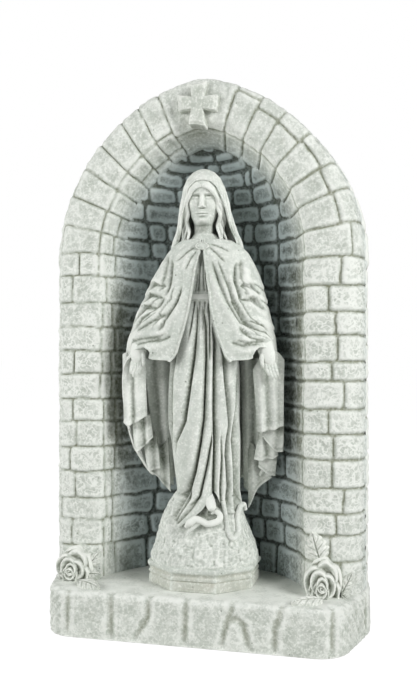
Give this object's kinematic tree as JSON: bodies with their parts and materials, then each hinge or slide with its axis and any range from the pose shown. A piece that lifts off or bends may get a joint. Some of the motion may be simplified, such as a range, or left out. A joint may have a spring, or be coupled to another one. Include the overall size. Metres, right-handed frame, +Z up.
{
  "type": "garden grotto",
  "caption": "Cast-stone garden grotto: a pointed stone niche on a base step, with a keystone cross, corner roses and a veiled, robed figure standing on a globe.",
  "frame": {"origin": "centre of the base step's underside, on the ground", "axes": "+Z up, -Y to the front where the niche opens, +X to the right as seen from the front"},
  "size_m": [0.4722, 0.248, 0.7952],
  "materials": {
    "grotto_stone": "matt cast stone with a grey-green wash in its joints",
    "statue_stone": "matt pale cast stone with a light grey-green wash in its folds"
  },
  "bodies": {
    "root": {"base_step": "grotto_stone", "left_jamb": "grotto_stone", "right_jamb": "grotto_stone", "left_arch": "grotto_stone", "right_arch": "grotto_stone", "keystone": "grotto_stone", "cross": "grotto_stone", "left_wall": "grotto_stone", "back_wall": "grotto_stone", "right_wall": "grotto_stone", "hood": "grotto_stone", "left_rose": "grotto_stone", "right_rose": "grotto_stone", "left_leaves": "grotto_stone", "right_leaves": "grotto_stone", "pedestal": "statue_stone", "globe": "statue_stone", "serpent": "statue_stone", "robe": "statue_stone", "mantle": "statue_stone", "clasp": "statue_stone", "left_hand": "statue_stone", "right_hand": "statue_stone", "head": "statue_stone", "veil": "statue_stone"}
  },
  "joints": []
}
